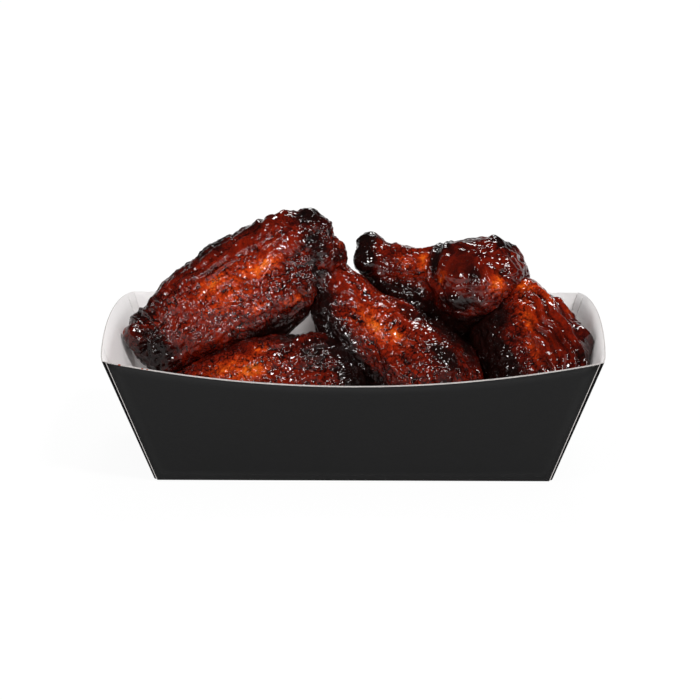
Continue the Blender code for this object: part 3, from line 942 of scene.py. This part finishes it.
def sheet_mesh(name, grids):
    """Joins grids of points, each a list of rows, into one mesh whose faces look out from the middle."""
    shape = bmesh.new()
    for rows in grids:
        rows = [[shape.verts.new(point) for point in row] for row in rows]
        for lower, upper in zip(rows, rows[1:]):
            for a in range(len(lower) - 1):
                quad = [lower[a], lower[a + 1], upper[a + 1], upper[a]]
                shape.faces.new(list(dict.fromkeys(quad)))
    bmesh.ops.remove_doubles(shape, verts=shape.verts, dist=1e-5)
    bmesh.ops.dissolve_degenerate(shape, dist=1e-6, edges=shape.edges)
    shape.normal_update()
    for face in shape.faces:
        centre = face.calc_center_median()
        if face.normal.dot(centre - Vector((0.0, 0.0, 0.05))) < 0:
            face.normal_flip()
    mesh = bpy.data.meshes.new(name)
    shape.to_mesh(mesh)
    shape.free()
    return mesh


def spaced(count, low=-1.0, high=1.0):
    return [low + (high - low) * step / count for step in range(count + 1)]


def thickened(made, thickness, rounded=0.0):
    if rounded:
        round_off = made.modifiers.new("round_folds", "BEVEL")
        round_off.width = rounded
        round_off.segments = 3
        round_off.limit_method = "ANGLE"
        round_off.angle_limit = math.radians(35)
    board = made.modifiers.new("board", "SOLIDIFY")
    board.thickness = thickness
    board.offset = -1.0
    board.use_even_offset = True
    board.material_offset = 1
    board.material_offset_rim = 2
    applied(made)
    made.data.shade_smooth()
    return made


def add_shell(walls, looks):
    """Base and four walls folded from one sheet."""
    grids = []
    for wall in WALLS:
        grids.append([[walls.point(wall, along, share) for along in spaced(24)] for share in spaced(8, 0.0)])
    x, y = walls.half
    grids.append([[Vector((x * u, y * v, 0.0)) for u in spaced(24)] for v in spaced(24)])
    made = add_object("tray_shell", sheet_mesh("tray_shell", grids), *looks)
    return thickened(made, walls.settings.board, rounded=0.0005)


def add_panel(walls, looks, wall):
    """The long panel glued over the end flaps; its sides stop short of the corners towards the top."""
    board = walls.settings.board
    rows = []
    for share in spaced(10, 0.0):
        reach = walls.reach(share)
        rows.append([walls.point(wall, along * reach, share, board) for along in spaced(32)])
    made = add_object("tray_" + wall + "_panel", sheet_mesh(wall, [rows]), *looks)
    return thickened(made, board - 0.00004)


def add_cut_ends(walls, cut, wall):
    """The pale cut ends of a long panel, which slant to the sheet below."""
    board = walls.settings.board
    name = "tray_" + wall + "_cut"
    grids = []
    for end in (-1, 1):
        strips = []
        for share in spaced(10, 0.0):
            upper = walls.point(wall, end * walls.reach(share, -CUT_UNDER), share, board * 0.98)
            lower = walls.point(wall, end * walls.reach(share, CUT_PAST), share, board * 0.05)
            strips.append([upper, lower])
        grids.append(strips)
    return add_object(name, sheet_mesh(name, grids), cut)


def add_gusset(walls, looks, wall, end):
    """A folded corner flap inside an end wall: a triangle that narrows to the bottom corner."""
    board = walls.settings.board
    rows = []
    for share in spaced(12, 0.02, 0.985):
        width = walls.settings.gusset * share / (walls.half[1] + walls.settings.inset * share)
        places = [end * (0.992 - width * step) for step in spaced(8, 0.0)]
        rows.append([walls.point(wall, along, share, -board * 1.04) for along in places])
    name = "tray_gusset_" + wall + ("_front" if end < 0 else "_back")
    made = add_object(name, sheet_mesh(name, [rows]), *looks)
    return thickened(made, board * 0.45)


def add_sauce_spots(walls):
    """A few small splashes of sauce on the front rim and inside the walls."""
    look = Look("sauce_spots")
    thin = look.noise(0.0009, 3.0, 0.6)
    colour = look.mix(thin, solid((0.16, 0.014, 0.004)), solid((0.34, 0.05, 0.012)))
    look.finish(Base_Color=colour, Roughness=(0.15 + 0.3 * thin).clamped(), Normal=look.bump(thin, 0.0002))
    shape = bmesh.new()
    for wall, along, share, radius in SPLASHES:
        inside = 0.3 if share > 0.98 else -1.05
        centre = walls.point(wall, along, share, walls.settings.board * inside)
        size = Matrix.Diagonal((radius * MM, radius * MM * 0.6, radius * MM * 0.75, 1.0))
        place = Matrix.Translation(centre) @ size
        bmesh.ops.create_icosphere(shape, subdivisions=3, radius=1.0, matrix=place)
    mesh = bpy.data.meshes.new("sauce_spots")
    shape.to_mesh(mesh)
    shape.free()
    mesh.shade_smooth()
    return add_object("sauce_spots", mesh, look.material)


class WINGS_OT_add_tray(bpy.types.Operator):
    """Adds the printed paperboard tray over its solid"""

    bl_idname = "mesh.wings_tray_add"
    bl_label = "Add Paperboard Tray"

    def execute(self, context):
        settings = context.scene.wings_tray
        walls = Walls(settings)
        inside, cut = board_look(settings), edge_look(settings)
        # Painted shade: the sheet's print, seen on the end walls and the base, is darkened to about a third
        # of the panels' print.
        sheet = (print_look("black_print", settings, walls.half, 0.35, 0.05), inside, cut)
        cover = (print_look("black_print_panel", settings, walls.half, 1.0, 0.20), inside, cut)
        keep(add_shell(walls, sheet), "tray")
        for wall in ("front", "back"):
            keep(add_panel(walls, cover, wall))
            keep(add_cut_ends(walls, cut, wall))
        for wall in ("left", "right"):
            for end in (-1, 1):
                keep(add_gusset(walls, (inside, inside, inside), wall, end))
        keep(add_sauce_spots(walls))
        return {"FINISHED"}


# === stage ============================================================================================

# What the camera looks at, how far the floor lies under the tray and reaches, and how far the lamps are,
# in metres
AIM = Vector((-0.0016, 0.0, 0.0396))
FLOOR_DROP, FLOOR_REACH = 0.0006, 12.0
LAMP_DISTANCE = 1.5
# The floor's own glow: its strength, and its share where the floor is seen and where it is mirrored
GLOW, GLOW_SEEN, GLOW_MIRRORED = 1.02, 0.92, 0.2
# Lamps: the way each shines from, the setting for its strength, and its width in degrees
LAMPS = {
    "key": ((0.45, -0.55, 0.80), "key", 10),
    "fill": ((-0.75, -0.70, 0.50), "fill", 7),
    "low_right": ((0.34, -0.94, 0.22), "front", 5),
    "low_left": ((-0.30, -0.95, 0.08), "front", 5),
    "low_middle": ((0.02, -0.90, 0.42), "front", 5),
    "rim": ((0.10, 0.60, 0.75), "rim", 14),
}


class StageSettings(bpy.types.PropertyGroup):
    """Floor, lights and camera."""

    floor: paint("Floor", "Colour of the floor", (0.90, 0.90, 0.90))
    distance: length("Camera distance", "From the middle of the serving", 0.884)
    elevation: angle("Camera height", "Angle above the floor", 14.6)
    heading: angle("Camera heading", "Turn round the serving", 0.68)
    lens: number("Lens", "Focal length in millimetres", 119.1)
    key: number("Key light", "Strength of the main lamp", 1.42)
    fill: number("Fill light", "Strength of the lamp on the left", 0.55)
    front: number("Front light", "Strength of the low lamps in front", 0.38)
    rim: number("Rim light", "Strength of the lamp behind", 0.8)
    sky: number("Room light", "Strength of the light from all round", 0.40)
    room: number("Room reflection", "How pale the room in front is in gloss", 0.03)


def add_camera(settings):
    camera = bpy.data.objects.new("camera", bpy.data.cameras.new("camera"))
    bpy.context.scene.collection.objects.link(camera)
    camera.data.lens = settings.lens
    camera.data.sensor_width = 36.0
    camera.data.clip_start = 0.05
    level = math.cos(settings.elevation)
    side, ahead = math.sin(settings.heading), math.cos(settings.heading)
    back = Vector((side * level, -ahead * level, math.sin(settings.elevation)))
    camera.location = AIM + back * settings.distance
    camera.rotation_euler = back.to_track_quat("Z", "Y").to_euler()
    bpy.context.scene.camera = camera


def add_lamp(name, way, strength, spread):
    """A far, soft lamp that shines from the way given."""
    data = bpy.data.lights.new(name, "SUN")
    data.energy = strength
    data.angle = math.radians(spread)
    lamp = bpy.data.objects.new(name, data)
    bpy.context.scene.collection.objects.link(lamp)
    lamp.location = Vector(way).normalized() * LAMP_DISTANCE
    lamp.rotation_euler = Vector(way).to_track_quat("Z", "Y").to_euler()


def add_floor(settings):
    shape = bmesh.new()
    bmesh.ops.create_grid(shape, x_segments=1, y_segments=1, size=FLOOR_REACH)
    mesh = bpy.data.meshes.new("floor")
    shape.to_mesh(mesh)
    shape.free()
    look = Look("studio_floor")
    look.finish(Base_Color=solid(settings.floor), Roughness=0.9, Specular_IOR_Level=0.0)
    glow = look.node("ShaderNodeEmission", {}, {"Color": (1.0, 1.0, 1.0, 1.0), "Strength": GLOW})
    ray = look.node("ShaderNodeLightPath").socket.node.outputs
    camera, glossy = (Wire(look, ray[name]) for name in ("Is Camera Ray", "Is Glossy Ray"))
    base = Wire(look, look.shader.outputs[0])
    share = camera * GLOW_SEEN + glossy * GLOW_MIRRORED
    mixed = look.node("ShaderNodeMixShader", {}, {0: share, 1: base, 2: glow})
    look.put(look.tree.nodes["Material Output"].inputs[0], mixed)
    floor = add_object("floor", mesh, look.material)
    floor.location.z = -FLOOR_DROP


def add_world(settings):
    """White where it is seen, dark with a white backdrop where it is mirrored, and grey where it lights."""
    world = bpy.data.worlds.new("studio")
    bpy.context.scene.world = world
    look = Look("studio", world)
    ray = look.node("ShaderNodeLightPath").socket.node.outputs
    kinds = ("Is Camera Ray", "Is Glossy Ray", "Is Transmission Ray")
    camera, glossy, clear = (Wire(look, ray[kind]) for kind in kinds)
    y, z = look.split(look.place(0))[1:]
    backdrop = look.ramp(y - z.size() * 0.8, (0.50, 0.0), (0.90, 1.0))
    white = camera.most(glossy * backdrop).most(clear)
    room = look.mix(glossy, solid([settings.sky] * 3), solid([settings.room] * 3))
    look.put(look.shader.inputs["Color"], look.mix(white, room, (1.0, 1.0, 1.0, 1.0)))


class WINGS_OT_add_stage(bpy.types.Operator):
    """Adds the floor, the soft lights and the camera"""

    bl_idname = "mesh.wings_stage_add"
    bl_label = "Add Stage"

    def execute(self, context):
        settings = context.scene.wings_stage
        add_floor(settings)
        add_world(settings)
        add_camera(settings)
        for name, (way, strength, spread) in LAMPS.items():
            add_lamp(name, way, getattr(settings, strength), spread)
        context.scene.view_settings.view_transform = "Standard"
        return {"FINISHED"}


# === add-on ===========================================================================================


class WINGS_PT_panel(bpy.types.Panel):
    """The serving's operators and settings"""

    bl_idname = "WINGS_PT_panel"
    bl_label = "Glazed Wings"
    bl_space_type = "VIEW_3D"
    bl_region_type = "UI"
    bl_category = "Wings"

    def draw(self, context):
        for operator in OPERATORS:
            self.layout.operator(operator.bl_idname)
        for name in SETTINGS:
            column = self.layout.column(heading=name)
            group = getattr(context.scene, name)
            for key in group.__annotations__:
                column.prop(group, key)


SETTINGS = {"glazed_wings": WingSettings, "wings_tray": TraySettings, "wings_stage": StageSettings}
OPERATORS = (WINGS_OT_add_tray, WINGS_OT_add_wings, WINGS_OT_add_stage)


def register():
    for made in (*SETTINGS.values(), *OPERATORS, WINGS_PT_panel):
        bpy.utils.register_class(made)
    for name, group in SETTINGS.items():
        setattr(bpy.types.Scene, name, PointerProperty(type=group))


def unregister():
    for name in SETTINGS:
        delattr(bpy.types.Scene, name)
    for made in (*SETTINGS.values(), *OPERATORS, WINGS_PT_panel):
        bpy.utils.unregister_class(made)


def main():
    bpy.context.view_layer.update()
    register()
    bpy.ops.mesh.wings_tray_add()
    bpy.ops.mesh.glazed_wings_add()
    bpy.ops.mesh.wings_stage_add()


if __name__ == "__main__":
    main()
